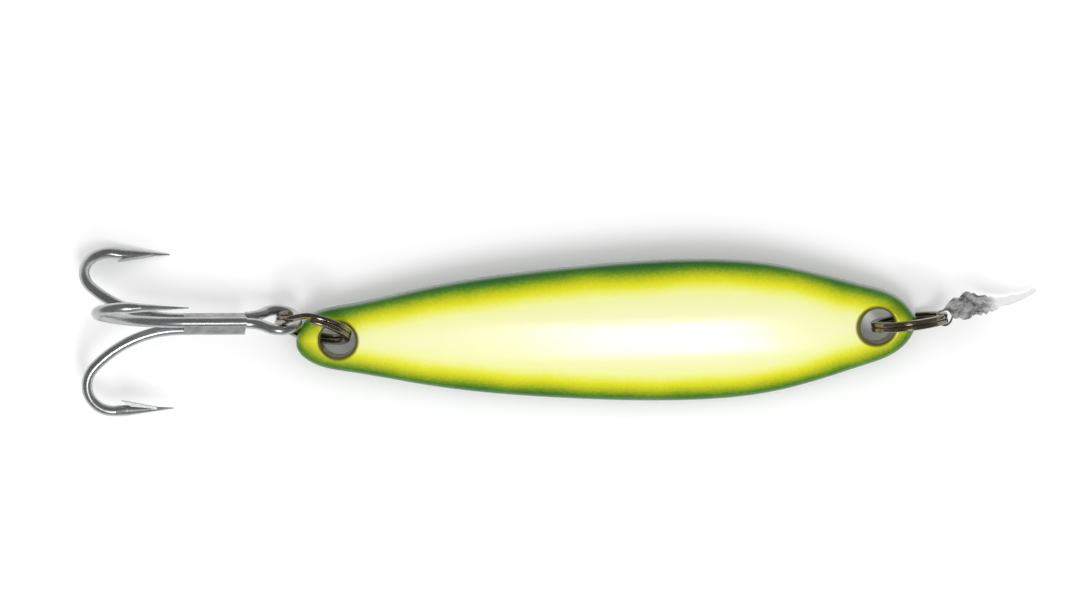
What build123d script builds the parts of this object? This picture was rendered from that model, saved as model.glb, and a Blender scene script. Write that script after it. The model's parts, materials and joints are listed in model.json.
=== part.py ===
"""Painted casting spoon with a split ring at each end, a treble hook and a paper price tag.

Millimetres. +X runs along the spoon towards the nose, where the line is tied, +Y across it and
+Z up. The lure lies on a table at z = 0, under the middle of its bounding box. Each piece is
modelled in a frame of its own and then laid where it rests, linked as it is on the real lure.
"""
import os
from math import asin, cos, degrees, radians, sin, sqrt

from build123d import *

# Spoon: a thick leaf of metal, bowed along its length and cupped across it.
BODY_LENGTH = 80.0
PLATE_THICKNESS = 2.8
BLANK_HALF_WIDTH = 12.0  # of the bowed and cupped sheet that the leaf is cut from
BLANK_DEPTH = 20.0
CREST_X = 11.0  # highest point of the bow, from mid-length
TAIL_BOW_RADIUS = 645.0
TAIL_BOW_TURN = 6.0
NOSE_BOW_RADIUS = 195.0
NOSE_BOW_TURN = 10.0
TOP_CUP_RADIUS = 23.0
BOTTOM_CUP_RADIUS = 27.0
SIDE_POINTS = [
    (-38.2, 3.0),
    (-33.5, 4.35),
    (-22.8, 6.45),
    (-7.2, 8.4),
    (8.4, 9.25),
    (22.0, 8.3),
    (33.5, 5.2),
    (38.3, 3.05),
]
TOP_RIM_RADIUS = 1.1
BOTTOM_RIM_RADIUS = 0.7
HOLE_RADIUS = 2.3
HOLE_RIM_RADIUS = 0.4
TAIL_HOLE_X = -34.55
NOSE_HOLE_X = 35.05

# Split rings: two turns of flattened wire side by side, joined by one crossover.
RING_DIAMETER = 10.0
COIL_DEPTH = 1.0
COIL_WIDTH = 0.62
COIL_EDGE_RADIUS = 0.18
COIL_GAP = 0.03
CROSSOVER_HALF_ANGLE = 20.0
CROSSOVER_STEPS = 8

# Treble hook: a doubled wire with the eye in its fold, and a single wire brazed into the groove.
# Along each arm, x is measured from the outside of the bend towards the eye.
WIRE = 1.4
WIRE_GAP = 0.06  # between the shanks, filled with braze
THROAT_RADIUS = 14.4
THROAT_TURN = 50.0
BEND_RADIUS = 3.65
BEND_X = 4.4
POINT_LEAN = 2.6
POINT_LENGTH = 7.6
SPEAR_START = 1.3
SPEAR_WIDTH = 1.5
SPEAR_THICKNESS = 1.1
TIP_WIDTH = 0.12
BARB_START = 0.8
BARB_RISE = 1.4
BARB_ROOT = 2.3
BARB_END = 5.4
BARB_THICKNESS = 0.5
BARB_DEPTHS = (0.4, 0.25)  # where its back meets the spear, at its root and its end
SINGLE_SHANK_END = 20.9
BRAZE_START = 12.9
NECK_X = 21.0
EYE_X = 25.25
EYE_RADIUS = 2.4
EYE_TWIST = 12.0  # of the eye, from the plane of the doubled wire's shanks

# Paper tag: a strip folded round the nose ring and stuck to itself.
TAG_THICKNESS = 0.3
TAG_HEIGHT = 6.2
TAG_MIDDLE = 4.0
LOOP_LENGTH = 2.7
LOOP_WIDTH = 2.1
LOOP_WALL = 0.18
LOOP_HEIGHT = 1.8
LOOP_MIDDLE = 4.4
FLAG_STATIONS = [  # x, y, lean, height
    (-0.3, 1.33, 0, 2.0),
    (1.9, 1.35, 6, 3.8),
    (3.6, 1.4, 18, TAG_HEIGHT),
    (5.9, 1.3, 9, TAG_HEIGHT),
    (9.0, 1.85, 3, TAG_HEIGHT),
    (12.3, 2.65, 0, TAG_HEIGHT),
]

# Where each piece rests.
SPOON_REST = (0, -0.5, 5.0)
SPOON_ROLL = 13.0
TAIL_RING_REST = {"centre": (-37.75, 1.35), "yaw": -14.5, "lean": 14.5, "crossover": 115.0}
NOSE_RING_REST = {"centre": (39.2, 0.1), "yaw": 5.5, "lean": -6.0, "crossover": 265.0}
HOOK_REST = (-67.1, 2.63, 9.5)
HOOK_YAW = -1.25
HOOK_PITCH = 10.1
HOOK_ROLL = 9.9
TAG_REST = (43.58, 0.5)


def bow_plane(x):
    """Plane tangent to the middle of the plate at x."""
    radius = TAIL_BOW_RADIUS if x < CREST_X else NOSE_BOW_RADIUS
    slope = asin((x - CREST_X) / radius)
    drop = radius * (1 - cos(slope))
    return Plane(origin=(x, 0, -drop), x_dir=(cos(slope), 0, -sin(slope)), z_dir=(sin(slope), 0, cos(slope)))


def cup_section():
    """Cross-section of the plate at the crest, wider than the leaf, thinning towards its edges."""
    half = BLANK_HALF_WIDTH
    top = PLATE_THICKNESS / 2
    top_edge = top - TOP_CUP_RADIUS + sqrt(TOP_CUP_RADIUS**2 - half**2)
    bottom_edge = -top - BOTTOM_CUP_RADIUS + sqrt(BOTTOM_CUP_RADIUS**2 - half**2)
    with BuildSketch(Plane.YZ.offset(CREST_X)) as section:
        with BuildLine():
            ThreePointArc((-half, top_edge), (0, top), (half, top_edge))
            Line((half, top_edge), (half, bottom_edge))
            ThreePointArc((half, bottom_edge), (0, -top), (-half, bottom_edge))
            Line((-half, bottom_edge), (-half, top_edge))
        make_face()
    return section.sketch


def leaf_outline():
    """Plan of the spoon: one smooth closed curve, the same on both sides."""
    far_side = [(x, -y) for x, y in reversed(SIDE_POINTS)]
    with BuildSketch() as outline:
        with BuildLine():
            Spline((-BODY_LENGTH / 2, 0), *SIDE_POINTS, (BODY_LENGTH / 2, 0), *far_side, periodic=True)
        make_face()
    return outline.sketch


with BuildPart() as spoon_body:
    section = cup_section()
    with BuildLine(Plane.XZ) as tail_bow:
        JernArc((CREST_X, 0), (-1, 0), TAIL_BOW_RADIUS, TAIL_BOW_TURN)
    sweep(section, path=tail_bow.line)
    with BuildLine(Plane.XZ) as nose_bow:
        JernArc((CREST_X, 0), (1, 0), NOSE_BOW_RADIUS, -NOSE_BOW_TURN)
    sweep(section, path=nose_bow.line)
    extrude(leaf_outline(), amount=BLANK_DEPTH, both=True, mode=Mode.INTERSECT)
    with Locations(bow_plane(TAIL_HOLE_X), bow_plane(NOSE_HOLE_X)):
        Hole(HOLE_RADIUS)
    bores = spoon_body.faces().filter_by(GeomType.CYLINDER)
    fillet(bores.edges().filter_by(GeomType.LINE, reverse=True), HOLE_RIM_RADIUS)
    side_edges = spoon_body.faces().filter_by(GeomType.EXTRUSION).edges()
    upper = spoon_body.faces().filter_by(lambda face: face.normal_at().Z > 0.5)
    lower = spoon_body.faces().filter_by(lambda face: face.normal_at().Z < -0.5)
    top_rim = upper.edges() & side_edges
    bottom_rim = lower.edges() & side_edges
    fillet(bottom_rim, BOTTOM_RIM_RADIUS)
    fillet(top_rim, TOP_RIM_RADIUS)


COIL_RADIUS = (RING_DIAMETER - COIL_DEPTH) / 2


def coil_section(angle, height):
    """Flattened wire, cut across at an angle round the ring's axis, Z."""
    outward = Vector(cos(radians(angle)), sin(radians(angle)), 0)
    forward = Vector(-sin(radians(angle)), cos(radians(angle)), 0)
    middle = outward * COIL_RADIUS + Vector(0, 0, height)
    with BuildSketch(Plane(origin=middle, x_dir=outward, z_dir=forward)) as section:
        RectangleRounded(COIL_DEPTH, COIL_WIDTH, COIL_EDGE_RADIUS)
    return section.sketch


def split_ring():
    """Two flat turns about Z, and the crossover that takes the wire from one to the other."""
    side = (COIL_WIDTH + COIL_GAP) / 2
    for height in (-side, side):
        turn = coil_section(CROSSOVER_HALF_ANGLE, height)
        revolve(turn, Axis.Z, revolution_arc=360 - 2 * CROSSOVER_HALF_ANGLE)
    crossover = []
    for step in range(CROSSOVER_STEPS + 1):
        travel = step / CROSSOVER_STEPS
        angle = CROSSOVER_HALF_ANGLE * (2 * travel - 1)
        height = side * (2 * travel**2 * (3 - 2 * travel) - 1)
        crossover.append(coil_section(angle, height))
    loft(crossover)


with BuildPart() as tail_split_ring:
    split_ring()

with BuildPart() as nose_split_ring:
    split_ring()


SHANK_OFFSET = (WIRE + WIRE_GAP) / sqrt(3)  # from the hook's axis to the middle of each shank
DOUBLE_WIRE_ARMS = (0, 120)
SINGLE_WIRE_ARM = -120


def hook_arm(angle, shank_end):
    """Shank, throat, bend and barbed point, in a plane through the hook's axis, X.

    The angle is from Z towards Y, and shank_end is where the straight wire stops."""
    turn = radians(angle)
    arm = Plane(origin=(0, 0, 0), x_dir=(1, 0, 0), z_dir=(0, -cos(turn), sin(turn)))
    throat_turn = radians(THROAT_TURN)
    throat_start = BEND_X + (THROAT_RADIUS - BEND_RADIUS) * sin(throat_turn)
    with BuildLine(arm) as wire_line:
        shank = Line((shank_end, SHANK_OFFSET), (throat_start, SHANK_OFFSET))
        throat = JernArc(shank @ 1, shank % 1, THROAT_RADIUS, -THROAT_TURN)
        bend = JernArc(throat @ 1, throat % 1, BEND_RADIUS, THROAT_TURN - 180 - POINT_LEAN)
    with BuildSketch(Plane(origin=shank @ 0, z_dir=shank % 0)) as wire:
        Circle(WIRE / 2)
    sweep(wire.sketch, path=wire_line.line)

    base = bend @ 1
    forward = bend % 1
    point = Plane(origin=base, x_dir=forward, z_dir=-arm.z_dir)  # y towards the shank
    stages = [
        (0, WIRE, WIRE),
        (SPEAR_START, SPEAR_WIDTH, SPEAR_THICKNESS),
        (POINT_LENGTH, TIP_WIDTH, TIP_WIDTH),
    ]
    sections = []
    for distance, width, thickness in stages:
        across = Plane(origin=base + forward * distance, x_dir=point.y_dir, z_dir=forward)
        with BuildSketch(across) as stage:
            Ellipse(width / 2, thickness / 2)
        sections.append(stage.sketch)
    loft(sections[:2], ruled=True)
    loft(sections[1:], ruled=True)
    with BuildSketch(point) as barb:
        with BuildLine():
            Polyline(
                (BARB_START, BARB_RISE),
                (BARB_END, BARB_DEPTHS[1]),
                (BARB_END, 0),
                (BARB_ROOT, 0),
                (BARB_ROOT, BARB_DEPTHS[0]),
                close=True,
            )
        make_face()
    extrude(barb.sketch, amount=BARB_THICKNESS / 2, both=True)


def hook_eye():
    """The fold of the doubled wire: two neck arcs that open into one round eye."""
    half_gap = (WIRE + WIRE_GAP) / 2
    first, second = [radians(angle) for angle in DOUBLE_WIRE_ARMS]
    middle = ((sin(first) + sin(second)) / 2, (cos(first) + cos(second)) / 2)
    across = Vector(0, sin(first) - sin(second), cos(first) - cos(second)).normalized()
    across = across.rotate(Axis.X, EYE_TWIST)
    origin = (0, middle[0] * SHANK_OFFSET, middle[1] * SHANK_OFFSET)
    eye_plane = Plane(origin=origin, x_dir=(1, 0, 0), z_dir=Vector(1, 0, 0).cross(across))
    run = EYE_X - NECK_X
    neck_radius = (run**2 + half_gap**2 - EYE_RADIUS**2) / (2 * (EYE_RADIUS - half_gap))
    neck_turn = degrees(asin(run / (neck_radius + EYE_RADIUS)))
    with BuildLine(eye_plane) as fold:
        opening = JernArc((NECK_X, half_gap), (1, 0), neck_radius, neck_turn)
        eye = JernArc(opening @ 1, opening % 1, EYE_RADIUS, -180 - 2 * neck_turn)
        JernArc(eye @ 1, eye % 1, neck_radius, neck_turn)
    with BuildSketch(Plane(origin=opening @ 0, z_dir=opening % 0)) as wire:
        Circle(WIRE / 2)
    sweep(wire.sketch, path=fold.line)


with BuildPart() as hook_double_wire:
    for arm_angle in DOUBLE_WIRE_ARMS:
        hook_arm(arm_angle, NECK_X)
    hook_eye()

with BuildPart() as hook_single_wire:
    hook_arm(SINGLE_WIRE_ARM, SINGLE_SHANK_END)

with BuildPart() as hook_braze:
    shanks = []
    for arm_angle in (*DOUBLE_WIRE_ARMS, SINGLE_WIRE_ARM):
        shanks.append((SHANK_OFFSET * sin(radians(arm_angle)), SHANK_OFFSET * cos(radians(arm_angle))))
    with BuildSketch(Plane.YZ.offset(BRAZE_START)):
        with Locations(*shanks):
            Circle(WIRE / 2)
        make_hull()
        with Locations(*shanks):
            Circle(WIRE / 2, mode=Mode.SUBTRACT)
    extrude(amount=SINGLE_SHANK_END - BRAZE_START)


def flag_section(x, y, lean, height):
    """Upright cut through the tag's flag, its top leaning towards -Y."""
    upright = Vector(0, -sin(radians(lean)), cos(radians(lean)))
    with BuildSketch(Plane(origin=(x, y, TAG_MIDDLE), x_dir=upright, z_dir=(1, 0, 0))) as cut:
        Rectangle(height, TAG_THICKNESS)
    return cut.sketch


with BuildPart() as paper_tag:
    loft([flag_section(*station) for station in FLAG_STATIONS])
    with BuildSketch(Plane.XY.offset(LOOP_MIDDLE - LOOP_HEIGHT / 2)) as loop:
        SlotOverall(LOOP_LENGTH + 2 * LOOP_WALL, LOOP_WIDTH + 2 * LOOP_WALL)
        SlotOverall(LOOP_LENGTH, LOOP_WIDTH, mode=Mode.SUBTRACT)
    extrude(loop.sketch, amount=LOOP_HEIGHT)


def ring_rest(centre, yaw, lean, crossover):
    """Place of a ring that stands on its edge: yaw turns its plane, lean tips its top to +Y."""
    along = Vector(cos(radians(yaw)), sin(radians(yaw)), 0)
    sideways = Vector(-sin(radians(yaw)), cos(radians(yaw)), 0)
    axis = Vector(0, 0, 1) * sin(radians(lean)) - sideways * cos(radians(lean))
    height = RING_DIAMETER / 2 * cos(radians(lean)) + (COIL_WIDTH + COIL_GAP / 2) * abs(sin(radians(lean)))
    standing = Plane(origin=(*centre, height), x_dir=along, z_dir=axis)
    return standing.location * Location((0, 0, 0), (0, 0, crossover))


spoon_rest = Location(SPOON_REST, (SPOON_ROLL, 0, 0))
hook_rest = Location(HOOK_REST, (0, 0, HOOK_YAW)) * Location((0, 0, 0), (0, HOOK_PITCH, 0))
hook_rest = hook_rest * Location((0, 0, 0), (-HOOK_ROLL, 0, 0))
lure = {
    "spoon_body": (spoon_body, spoon_rest),
    "tail_split_ring": (tail_split_ring, ring_rest(**TAIL_RING_REST)),
    "nose_split_ring": (nose_split_ring, ring_rest(**NOSE_RING_REST)),
    "hook_double_wire": (hook_double_wire, hook_rest),
    "hook_single_wire": (hook_single_wire, hook_rest),
    "hook_braze": (hook_braze, hook_rest),
    "paper_tag": (paper_tag, Location((*TAG_REST, 0))),
}
for name, (piece, rest) in lure.items():
    piece.part.label = name
    piece.part.location = rest

box = Compound([piece.part for piece, rest in lure.values()]).bounding_box(optimal=True)
centring = Location((-box.center().X, -box.center().Y, -box.min.Z))

os.makedirs("parts", exist_ok=True)
for name, (piece, rest) in lure.items():
    piece.part.move(centring)
    export_step(piece.part, f"parts/{name}.step")
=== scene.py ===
"""Looks of the casting spoon: procedural finishes, a crumpled paper tag, a pale table and studio light.

Metres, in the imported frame: +X along the spoon from the hook to the line tie, +Y across it, +Z up.
Every piece keeps its CAD shape except the tag, which a crumpled strip replaces.
"""
import json
from math import cos, hypot, radians, sin

import bpy
from mathutils import Matrix, Vector, noise


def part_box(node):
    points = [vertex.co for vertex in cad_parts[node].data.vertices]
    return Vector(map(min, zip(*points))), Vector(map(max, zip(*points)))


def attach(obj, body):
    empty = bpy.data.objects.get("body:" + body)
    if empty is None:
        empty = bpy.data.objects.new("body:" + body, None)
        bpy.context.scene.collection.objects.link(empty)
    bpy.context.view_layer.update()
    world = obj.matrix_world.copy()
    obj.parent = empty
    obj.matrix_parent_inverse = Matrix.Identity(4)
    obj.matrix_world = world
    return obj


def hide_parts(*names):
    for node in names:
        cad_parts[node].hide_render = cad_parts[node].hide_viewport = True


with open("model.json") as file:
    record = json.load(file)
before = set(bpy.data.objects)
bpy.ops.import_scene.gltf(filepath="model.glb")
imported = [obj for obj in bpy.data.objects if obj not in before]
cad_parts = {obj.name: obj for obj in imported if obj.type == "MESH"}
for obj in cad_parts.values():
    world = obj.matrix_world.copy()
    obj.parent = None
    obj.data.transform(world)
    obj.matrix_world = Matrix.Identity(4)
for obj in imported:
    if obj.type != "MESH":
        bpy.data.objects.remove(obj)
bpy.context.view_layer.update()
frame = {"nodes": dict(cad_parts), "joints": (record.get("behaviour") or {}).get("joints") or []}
MM = 0.001

# Camera: straight above the lure, a little turned, with a long lens.
CAMERA_HEIGHT = 1.0
CAMERA_POINT = Vector((-2.4 * MM, 2.2 * MM, 0))  # the point on the table that it looks at
CAMERA_TURN = radians(-1.5)
VIEW_WIDTH = 140.1 * MM  # of the table, across the picture

# Light: a soft box high on the -Y side, in a bright room that is darker overhead.
KEY_DIRECTION = Vector((0.052, -0.48, 0.88))
KEY_DISTANCE = 0.80
KEY_SIZE = (0.17, 0.31)
KEY_POWER = 2.0
ROOM_STRENGTH = 1.02
ROOM_OVERHEAD = (0.80, 0.80, 0.80)
ROOM_SIDES = (1.0, 1.0, 1.0)
ROOM_IN_GLOSS = 0.20  # how much of the room's brightness shows in reflections
FLOOR_SIZE = 4.0
FLOOR_COLOUR = (0.93, 0.935, 0.93)

# Paint: airbrushed bands that follow the spoon's edge. Millimetres from the edge, then the colour.
PAINT_BANDS = [
    (0.0, (0.012, 0.080, 0.018)),
    (0.5, (0.020, 0.110, 0.014)),
    (1.0, (0.075, 0.200, 0.004)),
    (1.5, (0.270, 0.360, 0.001)),
    (2.2, (0.580, 0.570, 0.001)),
    (2.8, (0.680, 0.675, 0.008)),
    (3.4, (0.740, 0.755, 0.130)),
    (4.2, (0.780, 0.795, 0.330)),
    (6.0, (0.790, 0.780, 0.440)),
]
BAND_SPAN = 8.0  # millimetres from the edge covered by the colour ramp
BAND_DRIFT = 0.9  # millimetres that the bands wander
BAND_GRAIN = 0.5  # millimetres of spray grain in them
OUTLINE_STEPS = 32
# Dark olive on the holes' rims and walls: their yellow-green paint, darkened as painted shade of the hole.
HOLE_PAINT_IN_SHADE = (0.120, 0.115, 0.006)
HOLE_PLACES = (-34.6 * MM, 35.0 * MM)  # along the spoon from its middle
HOLE_SHADE_EDGE = (2.55 * MM, 2.85 * MM)  # from the hole's axis, where its colour fades out
COAT_ROUGHNESS = 0.15
BACK_PAINT = (0.034, 0.080, 0.018)
BACK_FACING = (-0.25, -0.55)  # how far the surface faces up, where the face's paint gives way to the back's

BLACK_NICKEL = (0.190, 0.160, 0.120)
BLACK_NICKEL_WORN = (0.330, 0.295, 0.240)
HOOK_STEEL = (0.430, 0.440, 0.446)
HOOK_STEEL_BRIGHT = (0.540, 0.547, 0.551)
SOLDER = (0.300, 0.300, 0.300)
SOLDER_BRIGHT = (0.430, 0.430, 0.426)
PAPER = (0.860, 0.865, 0.855)
# Grey and dark smudges near the ring: painted shade of the ring and the fold round its wire, with dark marks
# on the paper.
PAPER_GREY_IN_SHADE = (0.400, 0.405, 0.400)
PAPER_SMUDGE_AND_SHADE = (0.085, 0.086, 0.083)
PAPER_SHADE_REACH = (4.5 * MM, 7.0 * MM)  # from the ring's wire, where the painted shade and the smudges fade out

# Tag: a paper strip folded round the nose ring's wire and stuck back on itself.
# Millimetres from the wire's middle: along the tag, its bottom edge (across, up) and its top edge.
TAG_LEAF = [
    (0.5, (1.40, -1.4), (0.95, 1.3)),
    (1.2, (2.00, -2.1), (0.10, 2.0)),
    (2.0, (2.25, -2.6), (0.15, 2.5)),
    (3.3, (2.80, -3.1), (0.45, 2.7)),
    (4.8, (2.40, -3.5), (0.70, 2.1)),
    (6.3, (2.00, -3.7), (0.95, 1.1)),
    (7.7, (1.95, -3.9), (1.25, -0.3)),
    (9.2, (2.05, -4.0), (1.60, -1.5)),
    (10.7, (2.45, -4.0), (2.05, -2.6)),
    (12.2, (2.95, -3.9), (2.85, -3.4)),
]
TAG_LOOP_RADIUS = 0.98
TAG_LOOP_REACH = 0.7  # the strip's half height where it goes round the wire
TAG_LOOP_TURNS = (90, 130, 180, 230, 280, 325)  # degrees round the wire
TAG_RETURN = (1.35, (0.75, -1.1), (0.45, 1.1))  # the second layer on its way back to the leaf
TAG_LAYER = 0.08  # of each layer from the leaf's middle
TAG_SHEET = 0.10
TAG_STEPS = 12  # between two places along the strip
TAG_ACROSS = 22

# The tag's crumples: waves per millimetre along the tag and up it, a seed, and how far they push the paper.
TAG_FOLDS = [
    (0.75, 0.60, 3.1, 0.90),
    (2.10, 1.90, 8.4, 0.36),
]
TAG_FOLD_LEVEL = 0.20  # taken off every fold, so that on average the leaf stays where it is
TAG_WRINKLES = (5.0, 4.6, 5.7, 0.05)
TAG_FLAT = (0.9, 2.3)  # along the tag, where the flat paper by the ring turns into crumpled
TAG_SMOOTH = (9.0, 5.0)  # and where the smoother tip does
TAG_TIP_SHARE = 0.35  # of the crumples that the tip keeps


class Finish:
    """A material with one Principled shader, and short calls that add and link its nodes."""

    def __init__(self, name, **sockets):
        self.material = bpy.data.materials.new(name)
        self.material.use_nodes = True
        self.tree = self.material.node_tree
        self.shader = self.tree.nodes["Principled BSDF"]
        for socket, value in sockets.items():
            self.shader.inputs[socket.replace("_", " ")].default_value = value

    def node(self, kind, inputs=(), **settings):
        """Adds a node. Inputs are (socket, value or output) pairs."""
        node = self.tree.nodes.new(kind)
        for setting, value in settings.items():
            setattr(node, setting, value)
        for socket, value in inputs:
            if isinstance(value, bpy.types.NodeSocket):
                self.tree.links.new(value, node.inputs[socket])
            else:
                node.inputs[socket].default_value = value
        return node

    def math(self, operation, first, second=0.0):
        return self.node("ShaderNodeMath", [(0, first), (1, second)], operation=operation).outputs[0]

    def place(self):
        """Position in the row frame at rest, in metres."""
        return self.node("ShaderNodeTexCoord").outputs["Object"]

    def noise(self, size, detail=3.0, roughness=0.55, stretch=(1, 1, 1)):
        """Noise from 0 to 1 whose blotches are about size metres across."""
        scale = self.node("ShaderNodeMapping", [("Vector", self.place()), ("Scale", stretch)])
        return self.node(
            "ShaderNodeTexNoise",
            [("Vector", scale.outputs[0]), ("Scale", 1 / size), ("Detail", detail), ("Roughness", roughness)],
        ).outputs["Fac"]

    def spread(self, value, low, high, new_low=0.0, new_high=1.0):
        """Maps low to high onto new_low to new_high, and clamps."""
        return self.node(
            "ShaderNodeMapRange",
            [(0, value), (1, low), (2, high), (3, new_low), (4, new_high)],
        ).outputs[0]

    def mix(self, amount, first, second):
        node = self.node("ShaderNodeMix", [(0, amount)], data_type="RGBA")
        for socket, colour in ((6, first), (7, second)):
            if isinstance(colour, bpy.types.NodeSocket):
                self.tree.links.new(colour, node.inputs[socket])
            else:
                node.inputs[socket].default_value = (*colour, 1)
        return node.outputs[2]

    def bump(self, height, distance, under=None):
        """Normal that follows a height from 0 to 1, distance metres deep."""
        inputs = [("Height", height), ("Distance", distance), ("Strength", 1.0)]
        if under is not None:
            inputs.append(("Normal", under))
        return self.node("ShaderNodeBump", inputs).outputs[0]

    def set(self, **sockets):
        for socket, output in sockets.items():
            self.tree.links.new(output, self.shader.inputs[socket.replace("_", " ")])

    def paint(self, *nodes):
        for name in nodes:
            slots = frame["nodes"][name].data.materials
            slots.clear()
            slots.append(self.material)


def hinge(name):
    """A joint's place and its axis."""
    swing = [joint for joint in frame["joints"] if joint["name"] == name][0]
    return Vector(swing["pos_m"]), Vector(swing["axis"]).normalized()


def spoon_frame():
    """The spoon's own axes at rest: X along it, Y across it and Z out of its painted face."""
    low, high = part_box("spoon_body")
    place, across = hinge("nose_ring_swing")
    along = Vector((1, 0, 0))
    turn = Matrix((along, across, along.cross(across))).transposed()
    middle = Vector(((low.x + high.x) / 2, place.y, place.z))
    return Matrix.Translation(middle) @ turn.to_4x4()


def edge_profile(placing):
    """The spoon's half length, and its edge as (along, half width) at even steps."""
    to_spoon = placing.inverted()
    points = [to_spoon @ vertex.co for vertex in frame["nodes"]["spoon_body"].data.vertices]
    half_length = max(point.x for point in points)
    edge = [(-half_length, 0.0)]
    for step in range(1, OUTLINE_STEPS):
        x = half_length * (2 * step / OUTLINE_STEPS - 1)
        reach = half_length / OUTLINE_STEPS
        near = [abs(point.y) for point in points if abs(point.x - x) < reach]
        edge.append((x, max(near)))
    edge.append((half_length, 0.0))
    return half_length, edge


def curve(finish, value, heights):
    """A Float Curve node through heights from 0 to 1, at even steps."""
    node = finish.node("ShaderNodeFloatCurve", [("Value", value)])
    line = node.mapping.curves[0]
    last = len(heights) - 1
    line.points[0].location = (0, heights[0])
    line.points[-1].location = (1, heights[last])
    for step in range(1, last):
        line.points.new(step / last, heights[step])
    node.mapping.update()
    return node.outputs[0]


def edge_slants(edge):
    """How directly the edge faces across the spoon at each of its places: 1 where it runs along it."""
    slants = []
    for step in range(len(edge)):
        before = edge[max(step - 1, 0)]
        after = edge[min(step + 1, len(edge) - 1)]
        run = after[0] - before[0]
        slants.append(run / hypot(run, after[1] - before[1]))
    return slants


def spoon_paint():
    """Gloss lacquer over airbrushed bands on the face and plain dark green on the back."""
    finish = Finish(
        "spoon_lacquer", Specular_IOR_Level=0.1, Coat_Weight=1.0, Coat_Roughness=COAT_ROUGHNESS, Coat_IOR=1.5
    )
    placing = spoon_frame()
    half_length, edge = edge_profile(placing)
    widest = max(half for x, half in edge)
    leaf = finish.node(
        "ShaderNodeMapping",
        [("Vector", finish.place()), ("Location", placing.translation), ("Rotation", placing.to_euler())],
        vector_type="TEXTURE",
    )
    parts = finish.node("ShaderNodeSeparateXYZ", [("Vector", leaf.outputs[0])])
    along = finish.spread(parts.outputs["X"], -half_length, half_length)
    half_width = curve(finish, along, [half / widest for x, half in edge])
    slant = curve(finish, along, edge_slants(edge))
    across = finish.math("ABSOLUTE", parts.outputs["Y"])
    inside = finish.math("SUBTRACT", finish.math("MULTIPLY", half_width, widest), across)
    depth = finish.math("MULTIPLY", finish.math("MULTIPLY", inside, slant), 1 / MM)
    drift = finish.math("SUBTRACT", finish.noise(9 * MM, detail=2), 0.5)
    grain = finish.math("SUBTRACT", finish.noise(0.35 * MM, detail=1), 0.5)
    depth = finish.math("ADD", depth, finish.math("MULTIPLY", drift, BAND_DRIFT))
    depth = finish.math("ADD", depth, finish.math("MULTIPLY", grain, BAND_GRAIN))

    ramp = finish.node("ShaderNodeValToRGB", [("Fac", finish.math("DIVIDE", depth, BAND_SPAN))])
    ramp.color_ramp.interpolation = "B_SPLINE"
    stops = ramp.color_ramp.elements
    for _ in PAINT_BANDS[2:]:
        stops.new(0.5)
    for stop, (distance, colour) in zip(stops, PAINT_BANDS):
        stop.position = distance / BAND_SPAN
        stop.color = (*colour, 1)
    lacquer = ramp.outputs["Color"]
    # The holes' rims and walls get their paint darkened to olive, a painted shade of the hole.
    for hole in HOLE_PLACES:
        off = finish.math("SUBTRACT", parts.outputs["X"], hole)
        square = finish.math("ADD", finish.math("MULTIPLY", off, off), finish.math("MULTIPLY", across, across))
        rim_shade = finish.spread(finish.math("SQRT", square), HOLE_SHADE_EDGE[1], HOLE_SHADE_EDGE[0])
        lacquer = finish.mix(rim_shade, lacquer, HOLE_PAINT_IN_SHADE)

    normal = finish.node("ShaderNodeTexCoord").outputs["Normal"]
    face_up = tuple(placing.to_3x3().col[2])
    facing = finish.node("ShaderNodeVectorMath", [(0, normal), (1, face_up)], operation="DOT_PRODUCT")
    back = finish.spread(facing.outputs["Value"], *BACK_FACING)
    finish.set(
        Base_Color=finish.mix(back, lacquer, BACK_PAINT),
        Roughness=finish.spread(finish.noise(2 * MM), 0.2, 0.8, 0.26, 0.36),
        Normal=finish.bump(finish.noise(1.6 * MM, detail=2), 0.012 * MM),
        Coat_Normal=finish.bump(finish.noise(2.4 * MM, detail=1), 0.010 * MM),
    )
    finish.paint("spoon_body")


def plated_ring():
    """Black nickel, polished, and rubbed paler in places."""
    finish = Finish("black_nickel", Metallic=1.0)
    worn = finish.spread(finish.noise(1.4 * MM, detail=6), 0.50, 0.75)
    finish.set(
        Base_Color=finish.mix(worn, BLACK_NICKEL, BLACK_NICKEL_WORN),
        Roughness=finish.spread(finish.noise(0.8 * MM), 0.3, 0.7, 0.12, 0.22),
        Normal=finish.bump(finish.noise(0.6 * MM, detail=3), 0.006 * MM),
    )
    finish.paint("tail_split_ring", "nose_split_ring")


def hook_steel():
    """Satin tinned wire, with fine lines drawn along the shanks."""
    finish = Finish("tinned_wire", Metallic=1.0)
    lines = finish.noise(0.16 * MM, detail=3, stretch=(0.06, 1, 1))
    patches = finish.spread(finish.noise(2.5 * MM, detail=5), 0.40, 0.70)
    finish.set(
        Base_Color=finish.mix(patches, HOOK_STEEL, HOOK_STEEL_BRIGHT),
        Roughness=finish.spread(lines, 0.3, 0.7, 0.24, 0.34),
        Normal=finish.bump(lines, 0.003 * MM),
    )
    finish.paint("hook_double_wire", "hook_single_wire")


def hook_solder():
    """Dull braze, lumpy where it froze between the wires."""
    finish = Finish("dull_braze", Metallic=1.0)
    lumps = finish.noise(1.1 * MM, detail=4)
    finish.set(
        Base_Color=finish.mix(finish.spread(lumps, 0.35, 0.7), SOLDER, SOLDER_BRIGHT),
        Roughness=finish.spread(lumps, 0.3, 0.7, 0.50, 0.36),
        Normal=finish.bump(lumps, 0.09 * MM),
    )
    finish.paint("hook_braze")


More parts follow.
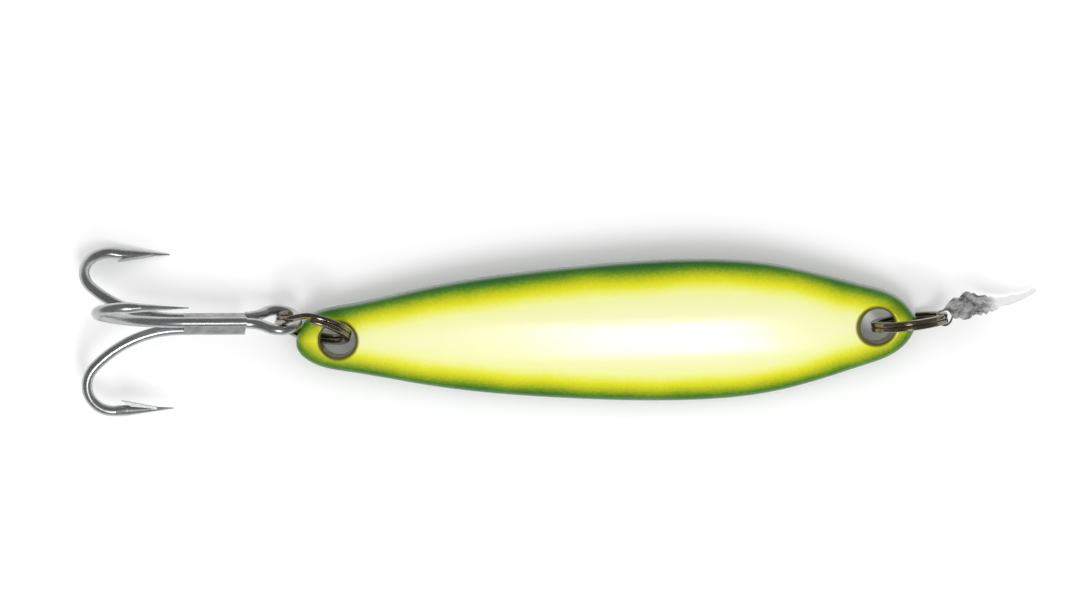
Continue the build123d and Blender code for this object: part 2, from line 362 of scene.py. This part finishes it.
def through(places, steps):
    """Smooth line through the places (Catmull-Rom), with that many steps between two of them."""
    ends = [2 * places[0] - places[1], *places, 2 * places[-1] - places[-2]]
    line = []
    for before, start, stop, after in zip(ends, ends[1:], ends[2:], ends[3:]):
        for step in range(steps):
            t = step / steps
            bend = (stop - before) * t + (2 * before - 5 * start + 4 * stop - after) * t * t
            line.append(start + (bend + (3 * start - before - 3 * stop + after) * t**3) / 2)
    return line + [places[-1]]


def share(value, start, stop):
    """How far a value is from start to stop, from 0 to 1."""
    return min(max((value - start) / (stop - start), 0), 1)


def waves(point, along, up, seed):
    return noise.noise(Vector((along * point.x, seed, up * point.z)))


def crumple(point):
    """How far a point of the leaf is pushed across, the same for both layers."""
    push = TAG_WRINKLES[3] * waves(point, *TAG_WRINKLES[:3])
    for *wave, depth in TAG_FOLDS:
        push += depth * (abs(waves(point, *wave)) - TAG_FOLD_LEVEL)
    tip = TAG_TIP_SHARE + (1 - TAG_TIP_SHARE) * share(point.x, *TAG_SMOOTH)
    return push * tip * share(point.x, *TAG_FLAT)


def tag_strip():
    """The crumpled paper tag, as one strip: out along the leaf, round the wire, and back."""
    wire, up = hinge("tag_swing")
    bottom = []
    top = []
    for layer, leaf in ((TAG_LAYER, TAG_LEAF[::-1]), (-TAG_LAYER, [TAG_RETURN, *TAG_LEAF[2:]])):
        for along, low, high in leaf:
            bottom.append(Vector((along, low[0] + layer, low[1])))
            top.append(Vector((along, high[0] + layer, high[1])))
        if layer > 0:
            for turn in TAG_LOOP_TURNS:
                around = TAG_LOOP_RADIUS * Vector((cos(radians(turn)), sin(radians(turn)), 0))
                bottom.append(around - Vector((0, 0, TAG_LOOP_REACH)))
                top.append(around + Vector((0, 0, TAG_LOOP_REACH)))
    corners = []
    for low, high in zip(through(bottom, TAG_STEPS), through(top, TAG_STEPS)):
        for step in range(TAG_ACROSS + 1):
            point = low.lerp(high, step / TAG_ACROSS)
            point.y += crumple(point)
            corners.append(wire + MM * (Vector((point.x, point.y, 0)) + point.z * up))
    row = TAG_ACROSS + 1
    faces = []
    for start in range(0, len(corners) - row, row):
        for step in range(start, start + TAG_ACROSS):
            faces.append((step, step + 1, step + 1 + row, step + row))
    mesh = bpy.data.meshes.new("creased_tag")
    mesh.from_pydata(corners, [], faces)
    mesh.polygons.foreach_set("use_smooth", [True] * len(faces))
    tag = bpy.data.objects.new("creased_tag", mesh)
    bpy.context.scene.collection.objects.link(tag)
    sheet = tag.modifiers.new("sheet", "SOLIDIFY")
    sheet.thickness = TAG_SHEET * MM
    sheet.offset = 0
    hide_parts("paper_tag")
    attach(tag, "tag")
    return tag, wire


def tag_paper(tag, wire):
    """Matt paper: fibres, fine creases, and a grey, smudged half near the ring, which is painted shade of the
    ring and the fold round its wire as well as marks on the paper.
    """
    finish = Finish("creased_paper", Specular_IOR_Level=0.2)
    place = finish.node("ShaderNodeSeparateXYZ", [("Vector", finish.place())])
    # Painted shade: the paper turns grey towards the ring's wire and takes dark smudges there, along with
    # marks of its own.
    shade_by_ring = finish.spread(place.outputs["X"], wire.x + PAPER_SHADE_REACH[1], wire.x + PAPER_SHADE_REACH[0])
    smudges_and_shade = finish.spread(finish.noise(1.3 * MM, detail=7, roughness=0.7), 0.42, 0.60)
    fibres = finish.noise(0.22 * MM, detail=6, roughness=0.7)
    creases = finish.noise(1.2 * MM, detail=4)
    paper = finish.mix(shade_by_ring, PAPER, PAPER_GREY_IN_SHADE)
    finish.set(
        Base_Color=finish.mix(finish.math("MULTIPLY", smudges_and_shade, shade_by_ring), paper, PAPER_SMUDGE_AND_SHADE),
        Roughness=finish.spread(fibres, 0.2, 0.8, 0.80, 0.95),
        Normal=finish.bump(fibres, 0.03 * MM, under=finish.bump(creases, 0.15 * MM)),
    )
    tag.data.materials.append(finish.material)


def table():
    mesh = bpy.data.meshes.new("table_top")
    half = FLOOR_SIZE / 2
    corners = [(-half, -half, 0), (half, -half, 0), (half, half, 0), (-half, half, 0)]
    mesh.from_pydata(corners, [], [(0, 1, 2, 3)])
    top = bpy.data.objects.new("table_top", mesh)
    bpy.context.scene.collection.objects.link(top)
    finish = Finish("table_white", Roughness=0.75, Specular_IOR_Level=0.25)
    finish.shader.inputs["Base Color"].default_value = (*FLOOR_COLOUR, 1)
    mesh.materials.append(finish.material)


def studio_light():
    lamp = bpy.data.lights.new("soft_box", "AREA")
    lamp.shape = "RECTANGLE"
    lamp.size, lamp.size_y = KEY_SIZE
    lamp.energy = KEY_POWER
    light = bpy.data.objects.new("soft_box", lamp)
    direction = KEY_DIRECTION.normalized()
    light.location = direction * KEY_DISTANCE
    light.rotation_euler = direction.to_track_quat("Z", "Y").to_euler()
    bpy.context.scene.collection.objects.link(light)

    world = bpy.data.worlds.new("bright_room")
    world.use_nodes = True
    tree = world.node_tree
    background = tree.nodes["Background"]
    toward = tree.nodes.new("ShaderNodeTexCoord")
    split = tree.nodes.new("ShaderNodeSeparateXYZ")
    ramp = tree.nodes.new("ShaderNodeValToRGB")
    ramp.color_ramp.elements[0].position = 0.55
    ramp.color_ramp.elements[0].color = (*ROOM_SIDES, 1)
    ramp.color_ramp.elements[1].position = 0.95
    ramp.color_ramp.elements[1].color = (*ROOM_OVERHEAD, 1)
    tree.links.new(toward.outputs["Generated"], split.inputs[0])
    tree.links.new(split.outputs["Z"], ramp.inputs["Fac"])
    tree.links.new(ramp.outputs["Color"], background.inputs["Color"])
    rays = tree.nodes.new("ShaderNodeLightPath")
    strength = tree.nodes.new("ShaderNodeMapRange")
    strength.inputs["To Min"].default_value = ROOM_STRENGTH
    strength.inputs["To Max"].default_value = ROOM_STRENGTH * ROOM_IN_GLOSS
    tree.links.new(rays.outputs["Is Glossy Ray"], strength.inputs["Value"])
    tree.links.new(strength.outputs[0], background.inputs["Strength"])
    bpy.context.scene.world = world


def overhead_camera():
    lens = bpy.data.cameras.new("overhead")
    lens.sensor_fit = "HORIZONTAL"
    lens.lens = lens.sensor_width * CAMERA_HEIGHT / VIEW_WIDTH
    camera = bpy.data.objects.new("overhead", lens)
    camera.location = CAMERA_POINT + Vector((0, 0, CAMERA_HEIGHT))
    camera.rotation_euler = (0, 0, CAMERA_TURN)
    bpy.context.scene.collection.objects.link(camera)
    bpy.context.scene.camera = camera


spoon_paint()
plated_ring()
hook_steel()
hook_solder()
tag_paper(*tag_strip())
table()
studio_light()
overhead_camera()
bpy.context.scene.view_settings.view_transform = "Standard"
